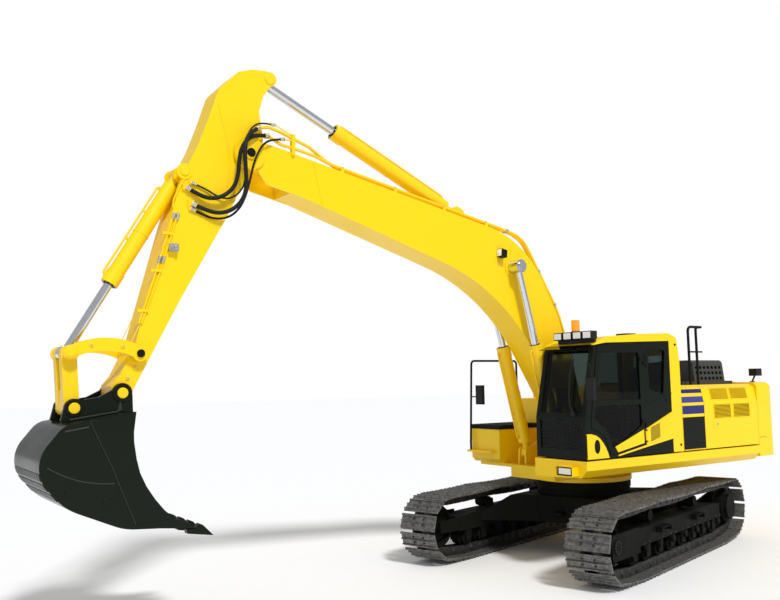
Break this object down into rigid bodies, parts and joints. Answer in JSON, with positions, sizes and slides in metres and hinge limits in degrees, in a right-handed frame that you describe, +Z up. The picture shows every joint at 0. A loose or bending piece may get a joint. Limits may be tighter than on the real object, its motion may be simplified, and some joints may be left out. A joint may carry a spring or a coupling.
{
  "type": "crawler excavator",
  "caption": "Crawler excavator with a swinging upper structure, glazed cab, one-piece boom, arm and digging bucket, moved by hydraulic cylinders with their linkage.",
  "frame": {"origin": "on the ground under the swing centre", "axes": "+X forward along the boom, +Y to the operator's left (cab side), +Z up; the tracks stand turned 16 degrees about +Z, as in the picture"},
  "size_m": [11.0928, 4.4228, 6.3078],
  "materials": {
    "machine_yellow": "gloss",
    "frame_black": "satin",
    "cab_black": "satin painted",
    "track_steel": "worn",
    "bucket_black": "gloss",
    "rod_chrome": "polished",
    "tinted_glass": "clear",
    "engine_grey": "matte",
    "seat_cloth": "woven",
    "hose_rubber": "matte",
    "trim_plastic": "matte",
    "beacon_amber": "clear"
  },
  "bodies": {
    "undercarriage": {"track_left": "track_steel", "track_right": "track_steel", "idler_left": "frame_black", "idler_right": "frame_black", "final_drive_left": "frame_black", "final_drive_right": "frame_black", "track_frame_left": "frame_black", "track_frame_right": "frame_black", "track_rollers_left": "frame_black", "track_rollers_right": "frame_black", "carrier_rollers_left": "frame_black", "carrier_rollers_right": "frame_black", "car_body": "frame_black", "swing_bearing": "frame_black"},
    "upper": {"revolving_frame": "machine_yellow", "counterweight": "machine_yellow", "engine_block": "engine_grey", "house_frame": "machine_yellow", "intake_box": "frame_black", "tanks": "machine_yellow", "front_box": "machine_yellow", "cab_frame": "cab_black", "cab_roof": "machine_yellow", "cab_glass": "tinted_glass", "cab_side_panels": "machine_yellow", "seat": "seat_cloth", "cab_controls": "trim_plastic", "roof_lamps": "trim_plastic", "beacon": "beacon_amber", "deck_lamp": "frame_black", "front_handrail": "frame_black", "right_mirror": "trim_plastic", "rear_handrail": "frame_black", "rear_mirror": "trim_plastic", "cab_mirror": "trim_plastic"},
    "cab_door": {"cab_door": "cab_black", "door_glass": "tinted_glass"},
    "left_front_door": {"left_front_door": "machine_yellow"},
    "left_rear_door": {"left_rear_door": "machine_yellow"},
    "right_front_door": {"right_front_door": "machine_yellow"},
    "right_rear_door": {"right_rear_door": "machine_yellow"},
    "engine_hood": {"engine_hood": "machine_yellow"},
    "front_box_lid": {"front_box_lid": "frame_black"},
    "boom": {"boom": "machine_yellow", "boom_lamp": "frame_black", "hose_outer": "hose_rubber", "hose_inner": "hose_rubber", "hose_thin": "hose_rubber", "hose_grease": "hose_rubber"},
    "boom_tubes": {"boom_cylinder_tubes": "machine_yellow"},
    "boom_rods": {"boom_cylinder_rods": "rod_chrome"},
    "arm_tube": {"arm_cylinder_tube": "machine_yellow"},
    "arm_rod": {"arm_cylinder_rod": "rod_chrome"},
    "arm": {"arm": "machine_yellow"},
    "bucket_tube": {"bucket_cylinder_tube": "machine_yellow"},
    "bucket_rod": {"bucket_cylinder_rod": "rod_chrome"},
    "levers": {"bucket_levers": "machine_yellow"},
    "link": {"bucket_link": "machine_yellow"},
    "bucket": {"bucket": "bucket_black", "bucket_teeth": "bucket_black"}
  },
  "joints": [
    {"name": "swing", "type": "hinge", "parent": "undercarriage", "child": "upper", "pos_m": [0, 0, 1.06], "axis": [0, 0, 1], "continuous": true},
    {"name": "cab_door_hinge", "type": "hinge", "parent": "upper", "child": "cab_door", "pos_m": [0.22, 1.432, 2.2], "axis": [0, 0, 1], "range_deg": [0, 165]},
    {"name": "left_front_door_hinge", "type": "hinge", "parent": "upper", "child": "left_front_door", "pos_m": [-1.097, 1.42, 1.9], "axis": [0, 0, 1], "range_deg": [0, 95]},
    {"name": "left_rear_door_hinge", "type": "hinge", "parent": "upper", "child": "left_rear_door", "pos_m": [-2.424, 1.42, 1.9], "axis": [0, 0, 1], "range_deg": [0, 95]},
    {"name": "right_front_door_hinge", "type": "hinge", "parent": "upper", "child": "right_front_door", "pos_m": [-1.632, -1.42, 1.9], "axis": [0, 0, -1], "range_deg": [0, 95]},
    {"name": "right_rear_door_hinge", "type": "hinge", "parent": "upper", "child": "right_rear_door", "pos_m": [-2.424, -1.42, 1.9], "axis": [0, 0, -1], "range_deg": [0, 95]},
    {"name": "engine_hood_hinge", "type": "hinge", "parent": "upper", "child": "engine_hood", "pos_m": [-2.42, 0.185, 2.48], "axis": [0, -1, 0], "range_deg": [0, 45]},
    {"name": "front_box_lid_hinge", "type": "hinge", "parent": "upper", "child": "front_box_lid", "pos_m": [0.102, -1.085, 1.865], "axis": [0, -1, 0], "range_deg": [0, 65]},
    {"name": "boom_lift", "type": "hinge", "parent": "upper", "child": "boom", "pos_m": [0.335, 0, 2.005], "axis": [0, -1, 0], "range_deg": [-70, 28]},
    {"name": "boom_tube_tilt", "type": "hinge", "parent": "upper", "child": "boom_tubes", "pos_m": [0.8, 0, 1.47], "axis": [0, -1, 0], "range_deg": [-66, 26.5]},
    {"name": "boom_rod_slide", "type": "slide", "parent": "boom_tubes", "child": "boom_rods", "axis": [0.259, 0, 0.9659], "range_m": [-0.772, 0.309]},
    {"name": "arm_swing", "type": "hinge", "parent": "boom", "child": "arm", "pos_m": [5.569, 0, 5.251], "axis": [0, -1, 0], "range_deg": [-50, 55], "deforming": ["hose_outer", "hose_inner", "hose_thin", "hose_grease"]},
    {"name": "arm_tube_tilt", "type": "hinge", "parent": "boom", "child": "arm_tube", "pos_m": [2.386, 0, 4.892], "axis": [0, -1, 0], "range_deg": [-1.6, 1.75]},
    {"name": "arm_rod_slide", "type": "slide", "parent": "arm_tube", "child": "arm_rod", "axis": [0.9098, 0, 0.4151], "range_m": [-0.856, 0.778]},
    {"name": "bucket_curl", "type": "hinge", "parent": "arm", "child": "bucket", "pos_m": [6.999, 0, 2.488], "axis": [0, -1, 0], "range_deg": [-70, 95]},
    {"name": "lever_swing", "type": "hinge", "parent": "arm", "child": "levers", "pos_m": [6.829, 0, 2.898], "axis": [0, -1, 0], "range_deg": [-51.5, 69.8]},
    {"name": "link_swing", "type": "hinge", "parent": "bucket", "child": "link", "pos_m": [7.476, 0, 2.346], "axis": [0, -1, 0], "range_deg": [-71.9, 53]},
    {"name": "bucket_tube_tilt", "type": "hinge", "parent": "arm", "child": "bucket_tube", "pos_m": [6.341, 0, 4.941], "axis": [0, -1, 0], "range_deg": [-5.4, 7.3]},
    {"name": "bucket_rod_slide", "type": "slide", "parent": "bucket_tube", "child": "bucket_rod", "axis": [0.5018, 0, -0.865], "range_m": [-0.714, 0.527]}
  ],
  "couplings": [
    {"joint": "boom_tube_tilt", "follows": "boom_lift", "ratio": 0.93569},
    {"joint": "boom_rod_slide", "follows": "boom_lift", "m_per_rad": 0.63087},
    {"joint": "arm_tube_tilt", "follows": "arm_swing", "ratio": 0.03035},
    {"joint": "arm_rod_slide", "follows": "arm_swing", "m_per_rad": -0.89008},
    {"joint": "lever_swing", "follows": "bucket_curl", "ratio": 0.73037},
    {"joint": "link_swing", "follows": "bucket_curl", "ratio": -0.75377},
    {"joint": "bucket_tube_tilt", "follows": "bucket_curl", "ratio": 0.07491},
    {"joint": "bucket_rod_slide", "follows": "bucket_curl", "m_per_rad": -0.42943}
  ]
}
